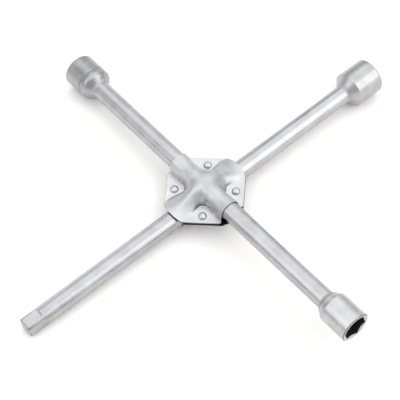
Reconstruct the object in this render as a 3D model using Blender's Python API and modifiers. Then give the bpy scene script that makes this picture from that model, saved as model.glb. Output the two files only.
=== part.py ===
"""Four-way wheel wrench, made as fourteen separate pieces.

Two round steel bars cross one on top of the other and sit in shallow seats cut into each other.
Two identical pressed plates, one turned over and laid crosswise, clamp the crossing between them
and are held by four rivets.  Three hexagon sockets are pushed onto the bar ends and welded, and
the fourth end is milled to a square drive.

Frame: the origin is the middle of the crossing, on the parting plane between the two plates.
+X runs along the lower bar towards the largest socket, +Y along the upper bar towards the middle
socket, and +Z points from the lower bar to the upper one.  All lengths are in metres.
"""
import math

import bmesh
import bpy
from mathutils import Matrix, Vector

MM = 0.001
GAP = 0.3 * MM                      # clearance between pieces that touch on the real tool

# Bars
BAR_RADIUS = 8.0 * MM
BAR_SIDES = 32
AXIS_HEIGHT = 6.45 * MM             # each bar's axis lies this far from the parting plane
SEAT_LENGTH = 18.0 * MM             # flat seat cut into each bar where the other one crosses
END_CHAMFER = 0.8 * MM

# Square drive, at the -X end of the lower bar
DRIVE_ACROSS_FLATS = 12.7 * MM
DRIVE_END = 181.9 * MM
DRIVE_FLATS_START = 166.6 * MM

# Sockets: distances are measured from the hub's centre along the arm
SOCKET_SIDES = 36
RIM_CHAMFER = 0.8 * MM
NECK_RADIUS = 10.3 * MM             # back face of every socket, where the weld ring sits
SEAT_DEPTH = 9.0 * MM               # how far a bar end goes into its socket
WELD_LENGTH = 2.8 * MM
SOCKETS = {
    # name: arm, hexagon across flats, turn of the hexagon, outer radius, mouth, hexagon depth,
    #       and the outside from the shoulder down to the neck as (radius, distance) pairs
    "socket_19mm": dict(arm="-Y", flats=19.0 * MM, turn=math.radians(11.5), radius=13.0 * MM,
                        mouth=173.6 * MM, depth=16.5 * MM,
                        back=((13.0, 149.8), (12.6, 148.0), (11.6, 146.0), (10.3, 144.2))),
    "socket_21mm": dict(arm="+Y", flats=21.0 * MM, turn=math.radians(20.0), radius=14.6 * MM,
                        mouth=170.4 * MM, depth=16.5 * MM,
                        back=((14.6, 152.2), (14.2, 151.8), (14.5, 151.3), (14.45, 148.5),
                              (13.3, 144.0), (10.3, 140.9))),
    "socket_23mm": dict(arm="+X", flats=23.0 * MM, turn=math.radians(5.0), radius=15.6 * MM,
                        mouth=186.8 * MM, depth=18.0 * MM,
                        back=((15.6, 162.0), (10.3, 157.0))),
}

# Hub plates
SHEET = 1.1 * MM
PAD_BOTTOM = GAP / 2                # the plates' flat pads face each other across the parting plane
PAD_TOP = PAD_BOTTOM + SHEET
CHANNEL_RADIUS = BAR_RADIUS + GAP   # inside of the round channel that holds a bar
RIDGE_TOP = AXIS_HEIGHT + CHANNEL_RADIUS + SHEET
RIDGE_FOOT = 3.05 * MM              # outer height of the ramp where it passes over the other bar
RAMP_LENGTH = 38.0 * MM
RAMP_HALF_WIDTH = 8.2 * MM
APEX_FILLET = 8.0 * MM              # rounding in plan between channel and ramp
APEX_START = 8.0 * MM
DOME_RADIUS = 16.5 * MM             # round dome over the crossing
HIDDEN_LEVEL = 0.6 * MM             # ramps and dome end inside the pad's thickness
PLATE_SIDE = ((35.9, 3.8, 14.0), (34.0, 11.25, 2.5), (11.25, 34.0, 1.8))  # x, y, corner radius in mm
FAR_MOUTH = ((8.6, 32.4, 0.7), (7.0, 33.0, 0.6))    # the +Y end of the channel
NEAR_MOUTH = ((8.4, 28.9, 0.7), (7.0, 31.2, 0.6))   # the -Y end of the channel

# Rivets
RIVET_OFFSET = 17.8 * MM            # along X and along Y
RIVET_SHANK = 2.0 * MM
RIVET_HEAD_RADIUS = 3.5 * MM
RIVET_HEAD_HEIGHT = 2.2 * MM
RIVET_SIDES = 20

ARM_TURN = {
    "+X": Matrix.Rotation(math.radians(90), 4, "Y"),
    "+Y": Matrix.Rotation(math.radians(-90), 4, "X"),
    "-Y": Matrix.Rotation(math.radians(90), 4, "X"),
}


def arm_frame(arm):
    """Place a piece built along +Z, with its origin at the hub, onto the arm that bears it."""
    height = AXIS_HEIGHT if arm[1] == "Y" else -AXIS_HEIGHT
    return Matrix.Translation((0, 0, height)) @ ARM_TURN[arm]


def clear_scene():
    for item in list(bpy.data.objects):
        bpy.data.objects.remove(item, do_unlink=True)


def new_collection(name):
    collection = bpy.data.collections.new(name)
    bpy.context.scene.collection.children.link(collection)
    return collection


def steel(name, color, roughness):
    """Bright zinc-plated steel."""
    material = bpy.data.materials.new(name)
    material.use_nodes = True
    shader = material.node_tree.nodes["Principled BSDF"]
    shader.inputs["Base Color"].default_value = (*color, 1.0)
    shader.inputs["Roughness"].default_value = roughness
    shader.inputs["Metallic"].default_value = 1.0
    return material


def add_object(name, mesh, collection, material=None):
    item = bpy.data.objects.new(name, mesh)
    collection.objects.link(item)
    if material is None:
        item.hide_render = True
        item.display_type = "WIRE"
    elif not mesh.materials:
        mesh.materials.append(material)
    return item


def turned(name, profile, steps, collection, material=None, closed=False):
    """Turn a profile of (radius, height) points about Z.  It runs down the outer side."""
    points = [(radius, 0.0, height) for radius, height in profile]
    edges = [(i, i + 1) for i in range(len(points) - 1)]
    if closed:
        edges.append((len(points) - 1, 0))
    mesh = bpy.data.meshes.new(name)
    mesh.from_pydata(points, edges, [])
    item = add_object(name, mesh, collection, material)
    screw = item.modifiers.new("turn", "SCREW")
    screw.axis = "Z"
    screw.steps = steps
    screw.render_steps = steps
    screw.use_merge_vertices = True
    screw.merge_threshold = 0.00001
    screw.use_smooth_shade = False
    return item


def prism(name, sides, radius, bottom, top, turn, collection):
    """A cutter with a regular outline, standing along Z from bottom to top."""
    shape = bmesh.new()
    place = Matrix.Translation((0, 0, (bottom + top) / 2)) @ Matrix.Rotation(turn, 4, "Z")
    bmesh.ops.create_cone(shape, cap_ends=True, segments=sides, radius1=radius, radius2=radius,
                          depth=top - bottom, matrix=place)
    mesh = bpy.data.meshes.new(name)
    shape.to_mesh(mesh)
    shape.free()
    return add_object(name, mesh, collection)


def block(name, low, high, collection, material=None):
    """A box between two corners, a cutter unless it has a material."""
    size = Vector(high) - Vector(low)
    place = Matrix.Translation((Vector(low) + Vector(high)) / 2) @ Matrix.Diagonal((*size, 1.0))
    shape = bmesh.new()
    bmesh.ops.create_cube(shape, size=1.0, matrix=place)
    mesh = bpy.data.meshes.new(name)
    shape.to_mesh(mesh)
    shape.free()
    return add_object(name, mesh, collection, material)


def combine(item, other, operation):
    boolean = item.modifiers.new(other.name, "BOOLEAN")
    boolean.operation = operation
    boolean.object = other
    boolean.solver = "EXACT"


def bake(item):
    """Keep the shape that the modifiers make, and drop the modifiers."""
    bpy.context.view_layer.update()
    evaluated = item.evaluated_get(bpy.context.evaluated_depsgraph_get())
    mesh = bpy.data.meshes.new_from_object(evaluated)
    item.modifiers.clear()
    item.data = mesh
    return mesh


def shade(mesh):
    mesh.shade_smooth()
    mesh.set_sharp_from_angle(angle=math.radians(30))


# --- Bars -------------------------------------------------------------------------------------

def bar_profile(low, high):
    """A solid round bar from low to high with a small chamfer at each end."""
    inner = BAR_RADIUS - END_CHAMFER
    return [(0.0, high), (inner, high), (BAR_RADIUS, high - END_CHAMFER),
            (BAR_RADIUS, low + END_CHAMFER), (inner, low), (0.0, low)]


def socket_seat_end(name):
    """Where the bar end stands inside the bore of its socket."""
    return SOCKETS[name]["back"][-1][1] * MM + SEAT_DEPTH - GAP


def make_bars(parts, cutters, material):
    """Both bars, each with a flat seat that lets the two cross closely."""
    half = SEAT_LENGTH / 2
    far = 2 * BAR_RADIUS

    upper = turned("upper_bar",
                   bar_profile(-socket_seat_end("socket_19mm"), socket_seat_end("socket_21mm")),
                   BAR_SIDES, parts, material)
    upper.matrix_world = arm_frame("+Y")
    seat = block("upper_seat_cutter", (-far, -half, -far), (far, half, GAP / 2), cutters)
    combine(upper, seat, "DIFFERENCE")

    lower = turned("lower_bar", bar_profile(-DRIVE_END, socket_seat_end("socket_23mm")),
                   BAR_SIDES, parts, material)
    lower.matrix_world = arm_frame("+X")
    seat = block("lower_seat_cutter", (-half, -far, -GAP / 2), (half, far, far), cutters)
    combine(lower, seat, "DIFFERENCE")

    flat = DRIVE_ACROSS_FLATS / 2
    for number in range(4):
        side = block(f"drive_flat_cutter_{number}", (-far, flat, -DRIVE_END - far),
                     (far, far, -DRIVE_FLATS_START), cutters)
        side.matrix_world = arm_frame("+X") @ Matrix.Rotation(math.radians(90 * number), 4, "Z")
        combine(lower, side, "DIFFERENCE")

    for item in (upper, lower):
        shade(bake(item))


# --- Sockets and their welds --------------------------------------------------------------------

def make_socket(name, parts, cutters, material):
    """A turned cup: hexagon recess at the mouth, round bore at the back for the bar end."""
    spec = SOCKETS[name]
    radius, mouth = spec["radius"], spec["mouth"]
    back = [(r * MM, s * MM) for r, s in spec["back"]]
    neck = back[-1][1]
    profile = [(0.0, mouth), (radius - RIM_CHAMFER, mouth), (radius, mouth - RIM_CHAMFER)]
    profile += back + [(0.0, neck)]
    socket = turned(name, profile, SOCKET_SIDES, parts, material)
    place = arm_frame(spec["arm"])
    socket.matrix_world = place

    corner_radius = spec["flats"] / math.sqrt(3.0)
    hexagon = prism(f"{name}_hexagon_cutter", 6, corner_radius, mouth - spec["depth"],
                    mouth + 5 * MM, spec["turn"], cutters)
    bore = prism(f"{name}_bore_cutter", SOCKET_SIDES, BAR_RADIUS + GAP, neck - 5 * MM,
                 neck + SEAT_DEPTH, 0.0, cutters)
    for cutter in (hexagon, bore):
        cutter.matrix_world = place
        combine(socket, cutter, "DIFFERENCE")
    shade(bake(socket))


def make_weld_ring(name, parts, material):
    """The weld fillet in the corner between a bar and the back face of its socket."""
    spec = SOCKETS[name]
    top = spec["back"][-1][1] * MM - GAP
    inner = BAR_RADIUS + GAP
    tip = inner + 0.25 * MM
    rise = NECK_RADIUS - 0.15 * MM - tip
    curve = []
    for step in range(5):
        share = step / 4
        curve.append((tip + rise * (1 - share) ** 2, top - WELD_LENGTH * share))
    profile = curve + [(inner, top - WELD_LENGTH), (inner, top)]
    ring = turned(name.replace("socket", "weld_ring"), profile, BAR_SIDES, parts, material,
                  closed=True)
    ring.matrix_world = arm_frame(spec["arm"])
    shade(bake(ring))


# --- Hub plates -----------------------------------------------------------------------------------

def ramp_half_width(x):
    """Half width of the ramp at pad level: it flares with a round fillet into the channel."""
    reach = abs(x) - APEX_START
    if reach <= 0:
        return RAMP_HALF_WIDTH + APEX_FILLET
    if reach >= APEX_FILLET:
        return RAMP_HALF_WIDTH
    drop = math.sqrt(APEX_FILLET ** 2 - (APEX_FILLET - reach) ** 2)
    return RAMP_HALF_WIDTH + APEX_FILLET - drop


def ramp_height(x, y):
    """Outer height of the round dome and of its two ramps.

    A ramp falls as a cosine along X and is rounded across Y.  The dome is a flattened ball.
    """
    fall = 0.5 * (1 + math.cos(math.pi * min(abs(x) / RAMP_LENGTH, 1.0)))
    ridge = RIDGE_FOOT + (RIDGE_TOP - RIDGE_FOOT) * fall
    share = min(abs(y) / ramp_half_width(x), 1.0)
    ramp = (ridge - HIDDEN_LEVEL) * (1 - share ** 2) ** 0.75
    ball = min(math.hypot(x, y) / DOME_RADIUS, 1.0)
    dome = (RIDGE_TOP - HIDDEN_LEVEL) * (1 - ball ** 2.6) ** 0.6
    return HIDDEN_LEVEL + max(ramp, dome)


def inner_height(x, y):
    """The outer surface lowered so that the wall is one sheet thick, measured square to it."""
    step = 0.2 * MM
    slope_x = (ramp_height(x + step, y) - ramp_height(x - step, y)) / (2 * step)
    slope_y = (ramp_height(x, y + step) - ramp_height(x, y - step)) / (2 * step)
    slope = min(math.hypot(slope_x, slope_y), 2.5)
    return ramp_height(x, y) - SHEET * math.sqrt(1 + slope ** 2)


def ramp_solid(name, height, bottom, collection):
    """A block with a flat underside and a top that follows a height function."""
    shape = bmesh.new()
    length, width = 2 * RAMP_LENGTH, 2 * (RAMP_HALF_WIDTH + APEX_FILLET)
    bmesh.ops.create_grid(shape, x_segments=30, y_segments=18, size=0.5,
                          matrix=Matrix.Diagonal((length, width, 1.0, 1.0)))
    for vertex in shape.verts:
        vertex.co.z = height(vertex.co.x, vertex.co.y)
    top_faces = list(shape.faces)
    copy = bmesh.ops.extrude_face_region(shape, geom=top_faces, use_keep_orig=True)
    for vertex in [item for item in copy["geom"] if isinstance(item, bmesh.types.BMVert)]:
        vertex.co.z = bottom
    bmesh.ops.recalc_face_normals(shape, faces=shape.faces)
    mesh = bpy.data.meshes.new(name)
    shape.to_mesh(mesh)
    shape.free()
    return add_object(name, mesh, collection)


def rounded_outline(corners, steps=4):
    """Round each corner of a closed outline with an arc that touches both of its edges."""
    points = []
    for index, (x, y, radius) in enumerate(corners):
        corner = Vector((x, y))
        before = (Vector(corners[index - 1][:2]) - corner).normalized()
        after = (Vector(corners[(index + 1) % len(corners)][:2]) - corner).normalized()
        half_angle = before.angle(after) / 2
        bisector = (before + after).normalized()
        centre = corner + bisector * (radius / math.sin(half_angle))
        start = corner + before * (radius / math.tan(half_angle)) - centre
        sweep = start.angle_signed(corner + after * (radius / math.tan(half_angle)) - centre)
        for step in range(steps + 1):
            turn = Matrix.Rotation(-sweep * step / steps, 2)
            points.append(centre + turn @ start)
    return points


def plate_outline(name, bottom, top, collection):
    """The plate's outline as a solid: an octagon with bulged ramp ends and cut-back channel ends."""
    far = PLATE_SIDE + FAR_MOUTH
    near = PLATE_SIDE + NEAR_MOUTH
    corners = list(far) + [(-x, y, r) for x, y, r in reversed(far)]
    corners += [(-x, -y, r) for x, y, r in near] + [(x, -y, r) for x, y, r in reversed(near)]
    curve = bpy.data.curves.new(name, "CURVE")
    curve.dimensions = "2D"
    curve.fill_mode = "BOTH"
    curve.extrude = (top - bottom) / 2
    points = rounded_outline([(x * MM, y * MM, r * MM) for x, y, r in corners])
    spline = curve.splines.new("POLY")
    spline.points.add(len(points) - 1)
    for target, point in zip(spline.points, points):
        target.co = (point.x, point.y, 0.0, 1.0)
    spline.use_cyclic_u = True
    outline = bpy.data.objects.new(name, curve)
    outline.location.z = (bottom + top) / 2
    collection.objects.link(outline)
    bpy.context.view_layer.update()
    evaluated = outline.evaluated_get(bpy.context.evaluated_depsgraph_get())
    mesh = bpy.data.meshes.new_from_object(evaluated)
    shape = bmesh.new()
    shape.from_mesh(mesh)
    bmesh.ops.remove_doubles(shape, verts=shape.verts, dist=0.00001)
    bmesh.ops.recalc_face_normals(shape, faces=shape.faces)
    shape.to_mesh(mesh)
    shape.free()
    solid = add_object(name + "_solid", mesh, collection)
    solid.matrix_world = outline.matrix_world
    bpy.data.objects.remove(outline, do_unlink=True)
    return solid


def make_plates(parts, cutters, material):
    """Both hub plates.  The lower one is the same pressing turned over and laid crosswise."""
    reach = 60 * MM
    plate = block("hub_plate_upper", (-reach, -reach, PAD_BOTTOM), (reach, reach, PAD_TOP), parts,
                  material)
    upper_arm, lower_arm = arm_frame("+Y"), arm_frame("+X")
    half_step = math.pi / BAR_SIDES
    channel = prism("channel_outside", BAR_SIDES, CHANNEL_RADIUS + SHEET, -reach, reach,
                    half_step, cutters)
    channel.matrix_world = upper_arm
    ramps = ramp_solid("ramp_outside", ramp_height, -4 * MM, cutters)
    outline = plate_outline("plate_outline", -25 * MM, 25 * MM, cutters)
    combine(plate, channel, "UNION")
    combine(plate, ramps, "UNION")
    combine(plate, outline, "INTERSECT")
    for index, (x, y) in enumerate(rivet_places()):
        hole = prism(f"rivet_hole_{index}", RIVET_SIDES, RIVET_SHANK + GAP, -reach / 4, reach / 4,
                     0.0, cutters)
        hole.location = (x, y, 0.0)
        combine(plate, hole, "DIFFERENCE")

    below = block("below_pads", (-reach, -reach, -reach), (reach, reach, PAD_BOTTOM), cutters)
    upper_way = prism("upper_bar_way", BAR_SIDES, CHANNEL_RADIUS, -2 * reach, 2 * reach,
                      half_step, cutters)
    upper_way.matrix_world = upper_arm
    lower_way = prism("lower_bar_way", BAR_SIDES, CHANNEL_RADIUS, -2 * reach, 2 * reach,
                      half_step, cutters)
    lower_way.matrix_world = lower_arm
    hollow = ramp_solid("ramp_inside", inner_height, -6 * MM, cutters)
    for part_of_inside in (upper_way, lower_way, hollow):
        combine(below, part_of_inside, "UNION")
    combine(plate, below, "DIFFERENCE")
    mesh = bake(plate)
    shade(mesh)

    turned_over = add_object("hub_plate_lower", mesh, parts, material)
    turned_over.matrix_world = Matrix.Rotation(math.pi, 4, Vector((1, 1, 0)).normalized())


# --- Rivets ---------------------------------------------------------------------------------------

def rivet_places():
    return [(sx * RIVET_OFFSET, sy * RIVET_OFFSET) for sx in (-1, 1) for sy in (-1, 1)]


def make_rivets(parts, material):
    """Round-headed rivets, headed on both sides, through the flat pads of both plates."""
    under_head = PAD_TOP + GAP
    ball = (RIVET_HEAD_RADIUS ** 2 + RIVET_HEAD_HEIGHT ** 2) / (2 * RIVET_HEAD_HEIGHT)
    spread = math.asin(RIVET_HEAD_RADIUS / ball)
    dome = []
    for step in range(6):
        angle = spread * step / 5
        dome.append((ball * math.sin(angle),
                     under_head + RIVET_HEAD_HEIGHT - ball * (1 - math.cos(angle))))
    upper_half = dome + [(RIVET_SHANK, under_head)]
    profile = upper_half + [(radius, -height) for radius, height in reversed(upper_half)]
    first = turned("rivet_1", profile, RIVET_SIDES, parts, material)
    mesh = bake(first)
    shade(mesh)
    for index, (x, y) in enumerate(rivet_places()):
        item = first if index == 0 else add_object(f"rivet_{index + 1}", mesh, parts, material)
        item.location = (x, y, 0.0)


def main():
    clear_scene()
    parts = new_collection("lug_wrench")
    cutters = new_collection("cutters")
    make_bars(parts, cutters, steel("bar_steel", (0.76, 0.77, 0.79), 0.34))
    socket_steel = steel("socket_steel", (0.74, 0.75, 0.77), 0.38)
    weld_steel = steel("weld_steel", (0.62, 0.63, 0.65), 0.48)
    for name in SOCKETS:
        make_socket(name, parts, cutters, socket_steel)
        make_weld_ring(name, parts, weld_steel)
    make_plates(parts, cutters, steel("plate_steel", (0.78, 0.79, 0.81), 0.30))
    make_rivets(parts, steel("rivet_steel", (0.80, 0.81, 0.82), 0.28))
    bpy.context.view_layer.update()


main()
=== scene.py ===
"""Looks of the four-way wheel wrench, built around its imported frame.

All lengths are in metres in the frame's own axes: +X runs along the lower bar to the largest
socket, +Y along the upper bar, and +Z points from the lower bar to the upper one.
"""
import math

import bpy
import numpy as np
from mathutils import Matrix, Vector


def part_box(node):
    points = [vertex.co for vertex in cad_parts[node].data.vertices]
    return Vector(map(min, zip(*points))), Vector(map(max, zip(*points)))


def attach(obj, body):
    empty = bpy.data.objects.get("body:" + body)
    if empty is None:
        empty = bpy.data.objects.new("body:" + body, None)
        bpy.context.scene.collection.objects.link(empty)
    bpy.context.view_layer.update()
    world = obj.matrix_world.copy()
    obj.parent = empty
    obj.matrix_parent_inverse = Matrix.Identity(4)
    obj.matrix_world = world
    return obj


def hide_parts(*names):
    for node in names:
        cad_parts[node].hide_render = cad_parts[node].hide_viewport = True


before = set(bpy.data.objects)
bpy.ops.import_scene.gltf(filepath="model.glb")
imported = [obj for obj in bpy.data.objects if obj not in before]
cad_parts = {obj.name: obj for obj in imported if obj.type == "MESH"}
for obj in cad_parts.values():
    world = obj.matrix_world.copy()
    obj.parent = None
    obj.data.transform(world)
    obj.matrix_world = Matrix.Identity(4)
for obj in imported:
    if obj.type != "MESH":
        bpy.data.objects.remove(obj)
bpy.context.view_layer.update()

# --- Camera -------------------------------------------------------------------------------------
# A long lens looks down on the wrench from the side of its square end and its smallest socket,
# so that the four arms run out to the corners of the picture.

MM = 0.001
CAMERA_ELEVATION = math.radians(55.67)
CAMERA_BEARING = math.radians(-34.4)
CAMERA_ROLL = math.radians(-6.9)
CAMERA_DISTANCE = 963.98 * MM
AIM_RIGHT = -5.04 * MM
AIM_UP = -6.6 * MM
LENS = 106.71                       # in millimetres, for a sensor 36 mm wide

level = Matrix.Rotation(CAMERA_BEARING, 4, "Z")
level = level @ Matrix.Rotation(math.pi / 2 - CAMERA_ELEVATION, 4, "X")
camera_data = bpy.data.cameras.new("camera")
camera_data.sensor_width = 36.0
camera_data.lens = LENS
camera = bpy.data.objects.new("camera", camera_data)
bpy.context.scene.collection.objects.link(camera)
camera.matrix_world = (level @ Matrix.Translation((AIM_RIGHT, AIM_UP, CAMERA_DISTANCE))
                       @ Matrix.Rotation(CAMERA_ROLL, 4, "Z"))
bpy.context.scene.camera = camera

# --- Floor and studio light ---------------------------------------------------------------------
# The wrench lies on a white sheet and touches it at three places: the rims of the two larger
# sockets and the square end.  The smallest socket stays clear of the floor.

FLOOR_SIZE = 8.0
FLOOR_COLOR = (0.98, 0.96, 0.93, 1.0)
LAMP_DISTANCE = 2.0


def lowest(node, axis, side):
    """Where a node that lies along an axis (0 or 1) meets the floor at its far end."""
    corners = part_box(node)
    point = Vector((0.0, 0.0, corners[0].z))
    point[axis] = corners[side][axis]
    return point


contact = [lowest("socket_23mm", 0, 1), lowest("socket_21mm", 1, 1), lowest("lower_bar", 0, 0)]
floor_normal = (contact[1] - contact[0]).cross(contact[2] - contact[0]).normalized()
floor_turn = floor_normal.to_track_quat("Z", "Y").to_matrix().to_4x4()
floor_place = Matrix.Translation(floor_normal * floor_normal.dot(contact[0])) @ floor_turn
half = FLOOR_SIZE / 2
floor_mesh = bpy.data.meshes.new("floor")
floor_mesh.from_pydata([(-half, -half, 0), (half, -half, 0), (half, half, 0), (-half, half, 0)],
                       [], [(0, 1, 2, 3)])
floor_mesh.transform(floor_place)
floor = bpy.data.objects.new("floor", floor_mesh)
bpy.context.scene.collection.objects.link(floor)
paper = bpy.data.materials.new("floor_paper")
paper.use_nodes = True
paper_shader = paper.node_tree.nodes["Principled BSDF"]
paper_shader.inputs["Base Color"].default_value = FLOOR_COLOR
paper_shader.inputs["Roughness"].default_value = 0.9
paper_shader.inputs["Specular IOR Level"].default_value = 0.1
floor_mesh.materials.append(paper)

world = bpy.data.worlds.new("studio")
world.use_nodes = True
sky = world.node_tree.nodes["Background"]
sky.inputs["Color"].default_value = (0.985, 0.99, 1.0, 1.0)
sky.inputs["Strength"].default_value = 0.74
bpy.context.scene.world = world
bpy.context.scene.view_settings.view_transform = "Standard"


def softbox(name, direction, size, brightness, color):
    """A square area light at a fixed distance that looks at the hub from a direction."""
    data = bpy.data.lights.new(name, "AREA")
    data.shape = "SQUARE"
    data.size = size
    data.energy = math.pi * size ** 2 * brightness
    data.color = color
    lamp = bpy.data.objects.new(name, data)
    bpy.context.scene.collection.objects.link(lamp)
    away = Vector(direction).normalized()
    lamp.matrix_world = (Matrix.Translation(away * LAMP_DISTANCE)
                         @ away.to_track_quat("Z", "Y").to_matrix().to_4x4())


softbox("overhead_light", (0.10, 0.04, 1.0), 3.3, 0.88, (0.99, 0.99, 1.0))
softbox("front_right_light", (0.43, -0.66, 0.60), 1.35, 1.55, (1.0, 0.995, 1.0))
softbox("low_right_light", (0.49, -0.84, 0.22), 1.1, 0.75, (1.0, 0.99, 0.98))
softbox("left_light", (-0.77, 0.25, 0.59), 1.2, 1.15, (0.99, 0.99, 1.0))
softbox("right_light", (0.77, 0.35, 0.50), 1.3, 0.50, (1.0, 1.0, 1.0))
softbox("low_back_light", (0.10, 0.97, 0.22), 1.2, 0.60, (1.0, 1.0, 1.0))

# --- Bars ---------------------------------------------------------------------------------------
# Two straight bars of drawn steel, 16 mm across and zinc-plated, cross one on top of the other in
# shallow flat seats.  The lower bar's free end is milled to a square drive: four flats run out in
# curved ends, and the bar's own round is left on the corners.

BAR_COLUMNS = 128
BAR_CHAMFER = 0.8 * MM
SEAT_REACH = 9.0 * MM               # half the length of the seat
SEAT_LEVEL = 0.15 * MM              # from the crossing's middle plane to either bar's seat
DRIVE_ACROSS_FLATS = 12.7 * MM
DRIVE_FLATS = (15.6 * MM, 17.6 * MM)    # length of the top and bottom flats and the side flats
DRIVE_RUN_OUT = (1.5 * MM, 2.6 * MM)    # each flat climbs to the bar's surface over this length
DRIVE_CHAMFER = 1.2 * MM
DRIVE_SHADE_REACH = 11.0 * MM
DRIVE_CORNER_SHADE = 0.45           # how dark the painted shade is on the round corners and on the tip's edge
DRIVE_EDGE_SHADE = 0.42


def skin(name, points, joined_rows=False):
    """A closed mesh over a grid of points with the shape (rows, columns, 3).

    Columns join round.  Rows join round too, or else each end row closes on a pole, which is
    the mean of that row.  Faces point outwards where rows advance along an axis on the outer
    side and columns turn right-handed about it.
    """
    rows, columns = points.shape[:2]
    index = np.arange(rows * columns).reshape(rows, columns)
    if joined_rows:
        index = np.vstack([index, index[:1]])
    right = np.roll(index, -1, axis=1)
    quads = np.stack([index[:-1], right[:-1], right[1:], index[1:]], axis=-1).reshape(-1, 4)
    faces = quads.tolist()
    vertices = points.reshape(-1, 3)
    if not joined_rows:
        first, last = len(vertices), len(vertices) + 1
        vertices = np.vstack([vertices, points[0].mean(axis=0), points[-1].mean(axis=0)])
        start = np.stack([right[0], index[0], np.full(columns, first)], axis=-1)
        finish = np.stack([index[-1], right[-1], np.full(columns, last)], axis=-1)
        faces += start.tolist() + finish.tolist()
    mesh = bpy.data.meshes.new(name)
    mesh.from_pydata(vertices.tolist(), [], faces)
    mesh.shade_smooth()
    mesh.set_sharp_from_angle(angle=math.radians(32))
    piece = bpy.data.objects.new(name, mesh)
    bpy.context.scene.collection.objects.link(piece)
    return piece


def stamp(piece, values):
    """Store a tone for each grid point of a skin, and the nearest row's mean at its poles."""
    flat = values.reshape(-1)
    spare = len(piece.data.vertices) - len(flat)
    ends = [values[0].mean(), values[-1].mean()][:spare]
    layer = piece.data.attributes.new("tone", "FLOAT", "POINT")
    layer.data.foreach_set("value", np.concatenate([flat, ends]).astype(np.float32))


def along(axis, height, distance, radius, angle):
    """Points round a bar axis: distance along it, then radius and angle about it.

    On the X axis the angle starts at +Y and turns to +Z; on the Y axis it starts at +Z and
    turns to +X, so that it is right-handed about either.
    """
    cosine, sine = radius * np.cos(angle), radius * np.sin(angle)
    distance = np.broadcast_to(distance, cosine.shape)
    if axis == 0:
        return np.stack([distance, cosine, height + sine], axis=-1)
    return np.stack([sine, distance, height + cosine], axis=-1)


def stops(*stretches):
    """Grid rows along a bar: stretches of (start, end, count), each evenly spaced."""
    rows = [np.linspace(start, end, count) for start, end, count in stretches]
    return np.unique(np.round(np.concatenate(rows), 7))


def bar_grid(name, axis, toward):
    """Distances, angles and radii of a round bar with a flat seat where the other bar crosses it.

    The radius is the bar's own, except within the seat, where it is at most the seat's depth
    divided by the cosine of the angle from the direction of the other bar.
    """
    low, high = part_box(name)
    radius = (high.z - low.z) / 2
    height = (high.z + low.z) / 2
    start, end = low[axis], high[axis]
    edge = 0.02 * MM
    distance = stops((start, start + 1.5 * MM, 9), (start + 1.5 * MM, start + 20 * MM, 75),
                     (start + 20 * MM, -SEAT_REACH - edge, 60),
                     (-SEAT_REACH + edge, SEAT_REACH - edge, 12),
                     (SEAT_REACH + edge, end - 1 * MM, 70), (end - 1 * MM, end, 4))[:, None]
    angle = np.linspace(0, 2 * math.pi, BAR_COLUMNS, endpoint=False)[None, :]
    lean = np.cos(angle - toward)
    depth = abs(height) - SEAT_LEVEL
    seat = np.where((np.abs(distance) < SEAT_REACH) & (lean > 0.1), depth / np.maximum(lean, 0.1),
                    radius)
    return distance, angle, np.minimum(radius, seat), height, start, end


def round_end(radius, distance, end, chamfer):
    """Round off a bar's end with a quarter circle of the chamfer's size."""
    short = np.clip(chamfer - np.abs(distance - end), 0, chamfer)
    return radius - chamfer + np.sqrt(np.maximum(chamfer ** 2 - short ** 2, 0))


distance, angle, radius, height, start, end = bar_grid("upper_bar", 1, math.pi)
radius = round_end(radius, distance, start, BAR_CHAMFER)
radius = round_end(radius, distance, end, BAR_CHAMFER)
upper_bar = skin("upper_bar_steel", along(1, height, distance, radius, angle))

distance, angle, radius, height, start, end = bar_grid("lower_bar", 0, math.pi / 2)
bar_radius = radius.max()
for length, run_out, facing in zip(DRIVE_FLATS, DRIVE_RUN_OUT, (np.sin(angle), np.cos(angle))):
    climb = np.clip((distance - start - length + run_out) / run_out, 0, 2)
    level = DRIVE_ACROSS_FLATS / 2 + (bar_radius - DRIVE_ACROSS_FLATS / 2) * climb ** 1.5
    radius = np.minimum(radius, level / np.maximum(np.abs(facing), 0.1))
# Painted shade: the round corner strips between the flats darken towards the tip, and a dark line
# runs round the tip's edge.
on_corner = np.clip((radius - 0.975 * bar_radius) / (0.02 * bar_radius), 0, 1)
near_tip = np.clip(1 - (distance - start) / DRIVE_SHADE_REACH, 0, 1)
tip_edge = np.clip(1 - np.abs(distance - start - 0.7 * MM) / (0.6 * MM), 0, 1)
drive_shade = np.maximum(DRIVE_CORNER_SHADE * on_corner * near_tip ** 0.7, DRIVE_EDGE_SHADE * tip_edge)
radius = round_end(radius, distance, start, DRIVE_CHAMFER)
radius = round_end(radius, distance, end, BAR_CHAMFER)
lower_bar = skin("lower_bar_steel", along(0, height, distance, radius, angle))
stamp(lower_bar, drive_shade)


class Wire:
    """One output of a material's node.  Arithmetic on it adds Math nodes to the material."""

    def __init__(self, socket):
        self.socket = socket
        self.tree = socket.id_data

    @staticmethod
    def node(tree, kind, settings, sockets, output=0):
        """Add a node: settings first, then a value or a Wire for each of its inputs."""
        item = tree.nodes.new(kind)
        for name, value in settings.items():
            setattr(item, name, value)
        for name, value in sockets.items():
            if isinstance(value, Wire):
                tree.links.new(value.socket, item.inputs[name])
            else:
                item.inputs[name].default_value = value
        return Wire(item.outputs[output])

    def math(self, operation, first, second=0.0, clamp=False):
        settings = {"operation": operation, "use_clamp": clamp}
        return Wire.node(self.tree, "ShaderNodeMath", settings, {0: first, 1: second})

    def __add__(self, other):
        return self.math("ADD", self, other)

    __radd__ = __add__

    def __sub__(self, other):
        return self.math("SUBTRACT", self, other)

    def __rsub__(self, other):
        return self.math("SUBTRACT", other, self)

    def __mul__(self, other):
        return self.math("MULTIPLY", self, other)

    __rmul__ = __mul__

    def clamped(self):
        return self.math("ADD", self, 0.0, clamp=True)


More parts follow.
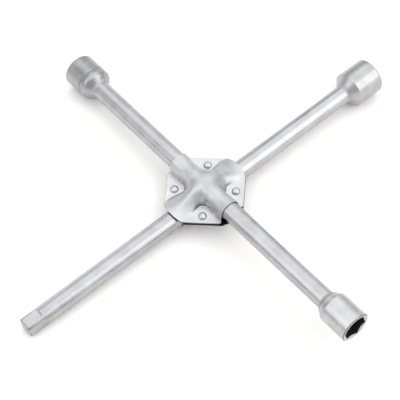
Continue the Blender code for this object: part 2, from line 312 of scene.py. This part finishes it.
def stretched_noise(tree, stretch, scale, detail):
    """Noise on the piece's own coordinates, drawn out along an axis by a stretch vector."""
    place = Wire.node(tree, "ShaderNodeTexCoord", {}, {}, "Object")
    scaled = Wire.node(tree, "ShaderNodeVectorMath", {"operation": "MULTIPLY"},
                       {0: place, 1: stretch})
    return Wire.node(tree, "ShaderNodeTexNoise", {},
                     {"Vector": scaled, "Scale": scale, "Detail": detail}, "Fac")


def tint(tree, amount, dark, light):
    """A colour between two colours."""
    return Wire.node(tree, "ShaderNodeMix", {"data_type": "RGBA"},
                     {"Factor": amount, "A": dark, "B": light}, "Result")


# Near black for painted shade and a light grey for painted light, which the stamped tone mixes in.
PAINTED_SHADE_BLACK = (0.022, 0.018, 0.026, 1.0)
PAINTED_LIGHT_GREY = (0.80, 0.805, 0.81, 1.0)
CLOUD_SCALE = 95.0                  # cells in a metre, as for the three below
STREAK_SCALE = 360.0
GRAIN_SCALE = 1100.0
SPECK_SCALE = 1400.0
EVEN = (1.0, 1.0, 1.0)              # a pattern that isn't drawn out along any axis


def plated(name, dark, light, roughness, grain_stretch, grain_depth, toned=True):
    """Zinc-plated steel: cloudy plating, streaks and a fine grain, and specks.

    Cloud, streaks and specks move the colour between two greys, and the first two the roughness
    too.  All four bump the surface.  The streaks and the grain are drawn out by the stretch.
    The tone stamped on the mesh paints shade above zero, turning the colour to dull black as in
    the recesses and creases, and paints light below zero, lightening it as on the flat pads.
    """
    material = bpy.data.materials.new(name)
    material.use_nodes = True
    tree = material.node_tree
    shader = tree.nodes["Principled BSDF"]
    shader.inputs["Metallic"].default_value = 1.0
    cloud = stretched_noise(tree, EVEN, CLOUD_SCALE, 5.0)
    streak = stretched_noise(tree, grain_stretch, STREAK_SCALE, 3.0)
    grain = stretched_noise(tree, grain_stretch, GRAIN_SCALE, 3.0)
    speck = stretched_noise(tree, EVEN, SPECK_SCALE, 2.0)
    amount = (0.5 + (cloud - 0.5) * 1.7 + (streak - 0.5) * 0.7 + (speck - 0.5) * 0.4).clamped()
    color = tint(tree, amount, dark, light)
    rough = roughness + (cloud - 0.5) * 0.14 + (streak - 0.5) * 0.12
    if toned:
        # A tone above zero paints shade, and one below zero paints light.
        tone = Wire.node(tree, "ShaderNodeAttribute", {"attribute_name": "tone"}, {}, "Fac")
        color = tint(tree, tone, color, PAINTED_SHADE_BLACK)
        color = tint(tree, tone * -1.0, color, PAINTED_LIGHT_GREY)
        rough = rough + tone * 0.3
    tree.links.new(color.socket, shader.inputs["Base Color"])
    tree.links.new(rough.socket, shader.inputs["Roughness"])
    height = cloud * 0.5 + streak * 0.3 + grain * 0.15 + speck * 0.1
    bump = Wire.node(tree, "ShaderNodeBump", {},
                     {"Strength": 0.5, "Distance": grain_depth, "Height": height})
    tree.links.new(bump.socket, shader.inputs["Normal"])
    return material


BAR_DARK = (0.375, 0.38, 0.395, 1.0)
BAR_LIGHT = (0.50, 0.50, 0.515, 1.0)
BAR_ROUGHNESS = 0.28
BAR_GRAIN = 0.045 * MM
for piece, node, stretch, toned in ((upper_bar, "upper_bar", (1.0, 0.06, 1.0), False),
                                    (lower_bar, "lower_bar", (0.06, 1.0, 1.0), True)):
    piece.data.materials.append(plated(f"drawn_{node}", BAR_DARK, BAR_LIGHT, BAR_ROUGHNESS,
                                       stretch, BAR_GRAIN, toned))
    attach(piece, "root")
    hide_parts(node)

# --- Sockets ------------------------------------------------------------------------------------
# Three turned steel cups, pushed onto the bar ends and zinc-plated.  Each has a round bore at the
# back for the bar, a hexagon recess at the mouth with a turned lead-in, and its own shoulder.

SOCKET_COLUMNS = 144
BORE_GAP = 0.3 * MM
BORE_DEPTH = 9.0 * MM
LEAD_IN = 0.25 * MM                 # how far the lead-in cone starts outside the hexagon's corners
LEAD_IN_SLOPE = 1.7
RIM_CHAMFER = 0.8 * MM
DRILL_POINT = 2.4 * MM
# Painted shade in the hexagon recess, on the middle of the rim's chamfer and in the groove.
RECESS_PAINTED_SHADE = 0.92
RIM_PAINTED_SHADE = 0.6
GROOVE_PAINTED_SHADE = 0.4
SOCKET_ROUGHNESS = 0.31
SOCKET_GRAIN = 0.055 * MM


def arc(start, end, bulge, count):
    """Points of (distance, radius) from start to end on a parabola that bulges to the left.

    The bulge is the height of its middle over the straight line, as a share of that line.
    """
    share = np.linspace(0, 1, count)[:, None]
    start, end = np.array(start), np.array(end)
    across = np.array([-(end - start)[1], (end - start)[0]])
    return start + (end - start) * share + across * (4 * bulge * share * (1 - share))


def socket_skin(name, axis, side, flats, turn, depth, back):
    """A cup turned about its arm, with a hexagon recess.

    The profile runs from the bore's bottom out over the back, shoulder, side and rim, and then
    down the recess.  In the recess the radius is the larger of the hexagon and the lead-in cone.
    The hexagon's radius is half the width across flats over the cosine of the angle from the
    middle of the nearest flat.
    """
    low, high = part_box(name)
    radius = (high.z - low.z) / 2
    height = (high.z + low.z) / 2
    mouth = high[axis] if side > 0 else -low[axis]
    neck = low[axis] if side > 0 else -high[axis]
    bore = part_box("lower_bar" if axis == 0 else "upper_bar")
    bore = (bore[1].z - bore[0].z) / 2 + BORE_GAP
    angle = turn + np.linspace(0, 2 * math.pi, SOCKET_COLUMNS, endpoint=False)
    hexagon = flats / 2 / np.cos((angle - turn) % (math.pi / 3) - math.pi / 6)
    cone = flats / math.sqrt(3) + LEAD_IN
    outside = np.vstack([
        [(neck + BORE_DEPTH, bore * 0.5), (neck + BORE_DEPTH, bore), (neck, bore)],
        back(neck, radius),
        [(mouth - 0.5 * (mouth - neck), radius)],
        [(mouth - RIM_CHAMFER - 0.3 * MM, radius)],
        arc((mouth - RIM_CHAMFER, radius), (mouth, radius - RIM_CHAMFER), 0.12, 6),
        [(mouth, cone + 0.12 * MM)],
    ])
    down = np.concatenate([np.linspace(0.03 * MM, 1.8 * MM, 24), np.linspace(3.2 * MM, depth, 12)])
    wall_distance = np.repeat((mouth - down)[:, None], SOCKET_COLUMNS, axis=1)
    wall_cone = np.maximum(cone - LEAD_IN_SLOPE * down, 0)[:, None]
    wall_radius = np.maximum(hexagon[None, :], wall_cone)
    floor_share = np.array([0.9, 0.6, 0.3])[:, None]
    floor_radius = hexagon[None, :] * floor_share
    floor_distance = np.broadcast_to(mouth - depth - DRILL_POINT * (1 - floor_share),
                                     floor_radius.shape)
    distances = np.vstack([np.repeat(outside[:, :1], SOCKET_COLUMNS, axis=1), wall_distance,
                           floor_distance])
    radii = np.vstack([np.repeat(outside[:, 1:], SOCKET_COLUMNS, axis=1), wall_radius,
                       floor_radius])
    # Painted shade: the groove and the rim's chamfer are darkened, and the recess nearly to black,
    # except on the lead-in cone.
    tone = np.zeros_like(radii)
    below_side = outside[:, 1] < radius - 0.25 * MM
    on_side = (outside[:, 0] > neck + 8 * MM) & (outside[:, 0] < mouth - 2 * MM)
    tone[:len(outside)][below_side & on_side] = GROOVE_PAINTED_SHADE
    tone[len(outside) - 6:len(outside) - 2] = RIM_PAINTED_SHADE      # the middle rows of the rim's chamfer
    tone[len(outside):] = RECESS_PAINTED_SHADE
    tone[len(outside):-3] *= np.clip((hexagon[None, :] - wall_cone) / (0.3 * MM), 0, 1)
    points = along(axis, height, side * distances, radii, side * angle[None, :])
    piece = skin(f"{name}_steel", points)
    stamp(piece, tone)
    return piece


def back_19(neck, radius):
    """A concave sweep up from the neck into a rounded shoulder."""
    sweep = arc((neck + 0.2 * MM, 10.3 * MM), (neck + 3.6 * MM, radius - 0.9 * MM), -0.06, 10)
    shoulder = arc((neck + 3.6 * MM, radius - 0.9 * MM), (neck + 6.2 * MM, radius), 0.10, 8)
    return np.vstack([[(neck, 10.1 * MM)], sweep, shoulder[1:]])


def back_21(neck, radius):
    """A cone and a long rounded shoulder, and a groove where the turned part begins."""
    cone = arc((neck + 0.2 * MM, 10.3 * MM), (neck + 3.1 * MM, radius - 1.3 * MM), -0.02, 8)
    shoulder = arc((neck + 3.1 * MM, radius - 1.3 * MM), (neck + 7.6 * MM, radius - 0.15 * MM),
                   0.10, 10)
    groove = [(neck + 9.7 * MM, radius - 0.1 * MM), (neck + 10.2 * MM, radius - 0.35 * MM),
              (neck + 10.7 * MM, radius)]
    return np.vstack([[(neck, 10.1 * MM)], cone, shoulder[1:], groove])


def back_23(neck, radius):
    """A straight cone up to a sharp shoulder."""
    cone = arc((neck + 0.2 * MM, 10.3 * MM), (neck + 5.1 * MM, radius), 0.0, 8)
    return np.vstack([[(neck, 10.1 * MM)], cone])


# The 21 mm socket's greys are darker and the 19 mm socket's lighter than the 23 mm socket's.
sockets = (
    # node, axis, side, across flats, turn of the hexagon, its depth, shape of the back, two greys
    ("socket_19mm", 1, -1, 19.0 * MM, math.radians(11.5), 16.5 * MM, back_19,
     (0.39, 0.395, 0.405, 1.0), (0.56, 0.56, 0.57, 1.0)),
    ("socket_21mm", 1, 1, 21.0 * MM, math.radians(20.0), 16.5 * MM, back_21,
     (0.28, 0.29, 0.295, 1.0), (0.43, 0.435, 0.445, 1.0)),
    ("socket_23mm", 0, 1, 23.0 * MM, math.radians(5.0), 18.0 * MM, back_23,
     (0.34, 0.345, 0.35, 1.0), (0.50, 0.50, 0.505, 1.0)),
)
for node, axis, side, flats, turn, depth, back, dark, light in sockets:
    piece = socket_skin(node, axis, side, flats, turn, depth, back)
    stretch = (3.0, 0.15, 0.15) if axis == 0 else (0.15, 3.0, 0.15)
    piece.data.materials.append(plated(f"turned_{node}", dark, light, SOCKET_ROUGHNESS,
                                       stretch, SOCKET_GRAIN))
    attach(piece, "root")
    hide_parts(node)

# --- Weld rings ---------------------------------------------------------------------------------
# A narrow bead of weld closes the corner between each bar and the back of its socket.  It was
# laid in short overlapping steps and then plated with everything else.

WELD_COLUMNS = 180
WELD_STEPS = 26
WELD_RIPPLE = 0.10 * MM
WELD_TOE = 0.1 * MM                 # thickness at the bead's thin end on the bar
WELD_OVERLAP = 0.25 * MM            # closes the gap to the socket's back
WELD_CLEARANCE = 0.02 * MM


def weld_skin(name, axis, side):
    """A ring of weld with a concave outer face.

    Round the section, the outer face runs from the bar up to the socket's back as a quadratic
    curve, and a sine along the ring moves it in and out.
    """
    low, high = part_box(name)
    height = (high.z + low.z) / 2
    top = high[axis] if side > 0 else -low[axis]
    foot = low[axis] if side > 0 else -high[axis]
    outer = (high.z - low.z) / 2
    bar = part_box("lower_bar" if axis == 0 else "upper_bar")
    inner = (bar[1].z - bar[0].z) / 2 + WELD_CLEARANCE
    back = top + WELD_OVERLAP
    angle = np.linspace(0, 2 * math.pi, WELD_COLUMNS, endpoint=False)[None, :]
    share = np.linspace(0, 1, 14)[:, None]
    ripple = WELD_RIPPLE * np.sin(WELD_STEPS * angle + 2.2 * share) * np.sin(math.pi * share)
    face = inner + WELD_TOE + (outer - inner - WELD_TOE) * share ** 2 + ripple
    face_distance = np.broadcast_to(foot + (back - foot) * share, face.shape)
    ends = np.array([[back, inner], [foot, inner]])
    distance = np.vstack([face_distance, np.repeat(ends[:, :1], WELD_COLUMNS, axis=1)])
    radius = np.vstack([face, np.repeat(ends[:, 1:], WELD_COLUMNS, axis=1)])
    points = along(axis, height, side * distance, radius, side * angle)
    return skin(f"{name}_bead", points, joined_rows=True)


WELD_DARK = (0.36, 0.37, 0.40, 1.0)
WELD_LIGHT = (0.47, 0.475, 0.50, 1.0)
WELD_ROUGHNESS = 0.42
WELD_GRAIN = 0.03 * MM
weld_steel = plated("weld_bead", WELD_DARK, WELD_LIGHT, WELD_ROUGHNESS, EVEN, WELD_GRAIN, False)
for node, axis, side in (("weld_ring_19mm", 1, -1), ("weld_ring_21mm", 1, 1),
                         ("weld_ring_23mm", 0, 1)):
    piece = weld_skin(node, axis, side)
    piece.data.materials.append(weld_steel)
    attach(piece, "root")
    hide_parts(node)

# --- Hub plates ---------------------------------------------------------------------------------
# Two identical pressings of thin zinc-plated sheet clamp the crossing.  Each has a round channel
# over one bar, two ramps that fall from a dome along the other bar, and four flat pads that the
# rivets pull onto the other plate's pads.

SHEET = 1.1 * MM
PAD_TOP = 1.25 * MM
RAMP_FOOT = 3.5 * MM                # height of a ramp's mouth, if the ramp ran to its full length
RAMP_LENGTH = 38.0 * MM
RAMP_HALF_WIDTH = (8.4 * MM, 10.0 * MM)         # towards -Y and towards +Y
RAMP_SPREAD = 6.0 * MM              # extra half width at the mouth, where the ramp's sides fade out
RAMP_FADE = (12.0 * MM, 32.0 * MM)              # distance at which its sides begin and end to fade
RAMP_POWERS = ((0.75, 1.75), (0.62, 1.12))      # before and after that, towards -Y and +Y
APEX_FILLET = 8.0 * MM
APEX_START = (7.6 * MM, 9.0 * MM)               # towards -X and towards +X
DOME_RADIUS = 17.0 * MM
DOME_CENTRE = (1.2 * MM, 1.2 * MM)
DOME_POWERS = (2.6, 0.6)            # 2 and 0.5 would give a ball; these give a flatter top
HIDDEN_LEVEL = 0.6 * MM             # ramps and dome end inside the pads' thickness
EDGE_LIFT = 0.85 * MM               # the pads bend apart towards the rim, so a dark gap shows
EDGE_LIFT_START = 27.0 * MM
EDGE_LIFT_REACH = 9.0 * MM
FINE_BLUR = 3                       # how often the sheet is blurred near its pads and mouths
BROAD_BLUR = 110                    # the same for its dome, the ramps and the channel
BROAD_BLUR_LEVELS = (2.4 * MM, 6.4 * MM)        # the broad blur sets in between these heights
BROAD_BLUR_EDGE = 37.8 * MM         # and fades out before this distance from the centre
BROAD_BLUR_FADE = 14.0 * MM
PLATE_COLUMNS = 420
PLATE_ROWS = 140
INNER_ROWS = 46
PRESS_STEP = 0.25 * MM
# Corners of a quarter of the outline, as x, y and the corner's radius in millimetres: the ramp's
# mouth and the pad, and then the channel's mouth towards -Y and towards +Y.
PLATE_SIDE = ((35.9, 3.8, 14.0), (34.0, 11.25, 2.5), (11.25, 34.0, 1.8))
NEAR_MOUTH = ((8.4, 28.9, 0.7), (7.0, 31.2, 0.6))
FAR_MOUTH = ((8.6, 32.4, 0.7), (7.0, 33.0, 0.6))
# Painted shade and light on the pressings: the creases near the crossing are darkened, much more on
# the side towards -Y, and the flat low pads are lightened, more widely towards -X.
CREASE_PAINTED_SHADES = (0.55, 0.12)         # towards -Y and towards +Y
CREASE_LEVEL = PAD_TOP + 1.1 * MM
CREASE_SPREAD = 1.7 * MM            # how far above and below that level a crease is dark
CREASE_EDGE = 25.0 * MM
CREASE_FADE = 9.0 * MM
PAD_PAINTED_LIGHT = -0.20
PAD_PAINTED_LIGHT_LEVELS = (PAD_TOP + 4.5 * MM, PAD_TOP + 2.2 * MM)      # towards -X and towards +X
PAD_PAINTED_LIGHT_FADE = 2.2 * MM
# Painted shade: a dark line round the rim, a darker cut edge, and a black inner face.
RIM_LINE_PAINTED_SHADE = 0.25
SHEET_EDGE_PAINTED_SHADE = 0.75
INSIDE_PAINTED_SHADE = 1.0


def outline_radius(angle):
    """Distance from the hub's centre to the plate's outline at an angle.

    Each corner of the outline is rounded by an arc that touches both of its edges.  The distance
    is read off the rounded outline, which is straight between the arcs.
    """
    far = np.array(PLATE_SIDE + FAR_MOUTH) * MM
    near = np.array(PLATE_SIDE + NEAR_MOUTH) * MM
    corners = np.vstack([far, far[::-1] * (-1, 1, 1), near * (-1, -1, 1),
                         near[::-1] * (1, -1, 1)])
    place, size = corners[:, :2], corners[:, 2:]
    before = np.roll(place, 1, axis=0) - place
    after = np.roll(place, -1, axis=0) - place
    before /= np.linalg.norm(before, axis=1, keepdims=True)
    after /= np.linalg.norm(after, axis=1, keepdims=True)
    half_angle = np.arccos(np.clip((before * after).sum(axis=1, keepdims=True), -1, 1)) / 2
    inward = (before + after) / np.linalg.norm(before + after, axis=1, keepdims=True)
    across = (after - before) / np.linalg.norm(after - before, axis=1, keepdims=True)
    centre = place + inward * size / np.sin(half_angle)
    turn = np.linspace(-1, 1, 15)[None, :, None] * (math.pi / 2 - half_angle)[:, None, :]
    arcs = (centre[:, None, :] - inward[:, None, :] * size[:, None, :] * np.cos(turn)
            + across[:, None, :] * size[:, None, :] * np.sin(turn)).reshape(-1, 2)
    chain = arcs[np.argsort(np.arctan2(arcs[:, 1], arcs[:, 0]) % (2 * math.pi))]
    following = np.roll(chain, -1, axis=0)
    fine = np.linspace(0, 1, 40, endpoint=False)[:, None, None]
    dense = (chain * (1 - fine) + following * fine).transpose(1, 0, 2).reshape(-1, 2)
    bearing = np.arctan2(dense[:, 1], dense[:, 0]) % (2 * math.pi)
    distance = np.hypot(dense[:, 0], dense[:, 1])
    order = np.argsort(bearing)
    return np.interp(angle, bearing[order], distance[order], period=2 * math.pi)


def pressed_height(x, y, top):
    """Outer height of the pads, the two ramps and the round dome in the middle.

    A ramp's ridge falls as a cosine along X.  Across Y its section is one less the square of the
    share of its half width, to a power that grows towards the mouth.  The half width flares with
    a round fillet into the dome.  The dome is a flattened ball, and the pads curl up at the rim.
    """
    start = np.where(x > 0, APEX_START[1], APEX_START[0])
    half_width = np.where(y > 0, RAMP_HALF_WIDTH[1], RAMP_HALF_WIDTH[0])
    reach = np.clip(np.abs(x) - start, 0, APEX_FILLET)
    flare = APEX_FILLET - np.sqrt(APEX_FILLET ** 2 - (APEX_FILLET - reach) ** 2)
    away = np.clip((np.abs(x) - RAMP_FADE[0]) / (RAMP_FADE[1] - RAMP_FADE[0]), 0, 1)
    width = half_width + flare + RAMP_SPREAD * away
    (near_dome, near_mouth), (far_dome, far_mouth) = RAMP_POWERS
    power = np.where(y > 0, far_dome + (far_mouth - far_dome) * away,
                     near_dome + (near_mouth - near_dome) * away)
    fall = 0.5 * (1 + np.cos(math.pi * np.clip(np.abs(x) / RAMP_LENGTH, 0, 1)))
    ridge = RAMP_FOOT + (top - RAMP_FOOT) * fall
    share = np.clip(np.abs(y) / width, 0, 1)
    ramp = HIDDEN_LEVEL + (ridge - HIDDEN_LEVEL) * (1 - share ** 2) ** power
    ball = np.clip(np.hypot(x - DOME_CENTRE[0], y - DOME_CENTRE[1]) / DOME_RADIUS, 0, 1)
    dome = HIDDEN_LEVEL + (top - HIDDEN_LEVEL) * (1 - ball ** DOME_POWERS[0]) ** DOME_POWERS[1]
    lift = np.clip((np.hypot(x, y) - EDGE_LIFT_START) / EDGE_LIFT_REACH, 0, 1.3) ** 1.3
    return np.maximum(np.maximum(ramp, dome), PAD_TOP + EDGE_LIFT * lift)


def soften(field, passes):
    """Blur a grid of points by repeated weights of a quarter, a half and a quarter both ways."""
    for _ in range(passes):
        field[1:-1] = 0.25 * field[:-2] + 0.5 * field[1:-1] + 0.25 * field[2:]
        field[:, 1:-1] = 0.25 * field[:, :-2] + 0.5 * field[:, 1:-1] + 0.25 * field[:, 2:]
    return field


def pressed_sheet(top, centre_height, channel_radius):
    """The outer face of the pressing on a square grid of its plan.

    Across the channel a grid line first goes round the channel's circle, down past its widest
    place, until it meets the pad or ramp, and from there it follows the pad or ramp outwards.
    The sheet is then blurred, broadly where it stands high over the crossing and finely
    elsewhere, as a press rounds deep folds more than it rounds the pads.
    """
    x = np.arange(-40 * MM, 40 * MM + PRESS_STEP / 2, PRESS_STEP)
    y = np.arange(-38 * MM, 38 * MM + PRESS_STEP / 2, PRESS_STEP)
    sweep = np.linspace(0, math.pi, 1400)[None, :]
    round_x = channel_radius * np.sin(sweep)
    round_z = centre_height + channel_radius * np.cos(sweep)
    below = round_z < pressed_height(round_x, y[:, None], top) - 1e-9
    meet = sweep[0, np.argmax(below, axis=1)]
    meet_x = np.maximum(channel_radius * np.sin(meet), 1e-6)[:, None]
    turn = np.clip(np.abs(x)[None, :] / meet_x, 0, 1) * meet[:, None]
    in_channel = np.abs(x)[None, :] < meet_x
    px = np.where(in_channel, channel_radius * np.sin(turn) * np.sign(x)[None, :], x[None, :])
    pz = np.where(in_channel, centre_height + channel_radius * np.cos(turn),
                  pressed_height(x[None, :], y[:, None], top))
    py = np.repeat(y[:, None], len(x), axis=1)
    field = np.stack([px, py, pz], axis=-1)
    sharp = soften(field.copy(), FINE_BLUR)
    soft = soften(field.copy(), BROAD_BLUR)
    first, full = BROAD_BLUR_LEVELS
    high = np.clip((pz - first) / (full - first), 0, 1)
    near = np.clip((BROAD_BLUR_EDGE - np.hypot(px, py)) / BROAD_BLUR_FADE, 0, 1)
    ease = (high * near)[..., None]
    return x, y, sharp * (1 - ease) + soft * ease


def read_off(x, y, field, at_x, at_y):
    """Values of a grid between its points, straight from one point to the next both ways."""
    column = np.clip((at_x - x[0]) / PRESS_STEP, 0, len(x) - 1.001)
    row = np.clip((at_y - y[0]) / PRESS_STEP, 0, len(y) - 1.001)
    left, low = column.astype(int), row.astype(int)
    fx, fy = (column - left)[..., None], (row - low)[..., None]
    return (field[low, left] * (1 - fx) * (1 - fy) + field[low, left + 1] * fx * (1 - fy)
            + field[low + 1, left] * (1 - fx) * fy + field[low + 1, left + 1] * fx * fy)


def painted_face_tone(face, normal):
    """Painted shade and light on the outer face: dark where it rises steeply from a pad near the
    crossing, light where it is flat and low.
    """
    x, y, z = face[..., 0], face[..., 1], face[..., 2]
    foot = np.clip(1 - np.abs(z - CREASE_LEVEL) / CREASE_SPREAD, 0, 1)
    near = np.clip((CREASE_EDGE - np.hypot(x, y)) / CREASE_FADE, 0, 1)
    steep = np.clip((0.82 - normal[..., 2]) / 0.45, 0, 1)
    flat = np.clip((normal[..., 2] - 0.86) / 0.12, 0, 1)
    low = np.clip((np.where(x < 0, *PAD_PAINTED_LIGHT_LEVELS) - z) / PAD_PAINTED_LIGHT_FADE, 0, 1)
    return np.where(y < 0, *CREASE_PAINTED_SHADES) * foot * near * steep + PAD_PAINTED_LIGHT * flat * low


def plate_grid():
    """Rows of points from the dome's top out to the rim, over its edge, and back inside.

    The inner face is the outer one moved in by the sheet's thickness, square to the surface, and
    a half round of three rows joins the two at the rim.  A tone for each point comes with them.
    """
    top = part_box("hub_plate_upper")[1].z
    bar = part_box("upper_bar")
    centre_height = (bar[0].z + bar[1].z) / 2
    channel_radius = top - centre_height
    x, y, field = pressed_sheet(top, centre_height, channel_radius)
    angle = np.linspace(0, 2 * math.pi, PLATE_COLUMNS, endpoint=False)[None, :]
    share = np.linspace(0, 1, PLATE_ROWS + 1)[1:, None]
    reach = outline_radius(angle) * share
    outer = read_off(x, y, field, reach * np.cos(angle), reach * np.sin(angle))
    out = np.gradient(outer, axis=0)
    ring = np.roll(outer, -1, axis=1) - np.roll(outer, 1, axis=1)
    normal = np.cross(out, ring)
    normal /= np.maximum(np.linalg.norm(normal, axis=-1, keepdims=True), 1e-12)
    keep = np.unique(np.round(np.linspace(0, PLATE_ROWS - 1, INNER_ROWS)).astype(int))[::-1]
    inner = outer[keep] - SHEET * normal[keep]
    rim_out = out[-1] / np.linalg.norm(out[-1], axis=-1, keepdims=True)
    bead = np.array([0.25, 0.5, 0.75])[:, None, None]
    edge = (outer[-1] * (1 - bead) + inner[0] * bead
            + rim_out * 0.18 * MM * np.sin(math.pi * bead))
    points = np.concatenate([outer, edge, inner])
    # Painted shade: the inner face is painted black, the sheet's cut edge dark, and a dark line
    # runs round the rim.
    tone = np.full(points.shape[:2], INSIDE_PAINTED_SHADE)
    tone[:PLATE_ROWS] = painted_face_tone(outer, normal)
    tone[PLATE_ROWS - 1] = RIM_LINE_PAINTED_SHADE
    tone[PLATE_ROWS:PLATE_ROWS + len(bead)] = SHEET_EDGE_PAINTED_SHADE
    return points, tone


PLATE_DARK = (0.425, 0.43, 0.445, 1.0)
PLATE_LIGHT = (0.57, 0.575, 0.585, 1.0)
PLATE_ROUGHNESS = 0.42
PLATE_GRAIN = 0.035 * MM
plate_steel = plated("pressed_plate", PLATE_DARK, PLATE_LIGHT, PLATE_ROUGHNESS, EVEN, PLATE_GRAIN)
upper_points, plate_tone = plate_grid()
lower_points = upper_points[..., [1, 0, 2]] * (1, 1, -1)
for node, points in (("hub_plate_upper", upper_points), ("hub_plate_lower", lower_points)):
    piece = skin(f"{node}_pressing", points)
    stamp(piece, plate_tone)
    piece.data.materials.append(plate_steel)
    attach(piece, "root")
    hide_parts(node)

# --- Rivets -------------------------------------------------------------------------------------
# Four zinc-plated steel rivets pull the pads together.  Each is headed on both sides with a low
# round head that stands on a short lip.

RIVET_COLUMNS = 48
RIVET_SHANK = 2.0 * MM
RIVET_HEAD_RADIUS = 3.4 * MM
RIVET_LIP = 0.5 * MM


def rivet_skin(node):
    """A rivet turned about a vertical axis: two low domes joined by a shank.

    A dome's height above its lip is the root of one less the square of the share of its radius,
    which is a quarter of an ellipse.
    """
    low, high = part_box(node)
    middle = (low + high) / 2
    seat = PAD_TOP + 0.02 * MM
    crown = high.z - seat - RIVET_LIP
    share = np.linspace(0.04, 1, 14)
    dome = np.stack([seat + RIVET_LIP + crown * np.sqrt(1 - 0.98 * share ** 2),
                     RIVET_HEAD_RADIUS * share], axis=-1)
    lip = np.array([[seat + RIVET_LIP / 2, RIVET_HEAD_RADIUS],
                    [seat, RIVET_HEAD_RADIUS - 0.1 * MM], [seat, RIVET_SHANK]])
    upper = np.vstack([dome, lip])
    profile = np.vstack([upper * (-1, 1), upper[::-1]])
    angle = np.linspace(0, 2 * math.pi, RIVET_COLUMNS, endpoint=False)[None, :]
    x = middle.x + profile[:, 1:] * np.cos(angle)
    y = middle.y + profile[:, 1:] * np.sin(angle)
    points = np.stack([x, y, np.broadcast_to(profile[:, :1], x.shape)], axis=-1)
    return skin(f"{node}_steel", points)


RIVET_DARK = (0.44, 0.45, 0.47, 1.0)
RIVET_LIGHT = (0.58, 0.585, 0.60, 1.0)
RIVET_ROUGHNESS = 0.28
RIVET_GRAIN = 0.02 * MM
rivet_steel = plated("rivet_head", RIVET_DARK, RIVET_LIGHT, RIVET_ROUGHNESS, EVEN, RIVET_GRAIN,
                     False)
for number in range(1, 5):
    piece = rivet_skin(f"rivet_{number}")
    piece.data.materials.append(rivet_steel)
    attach(piece, "root")
    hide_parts(f"rivet_{number}")
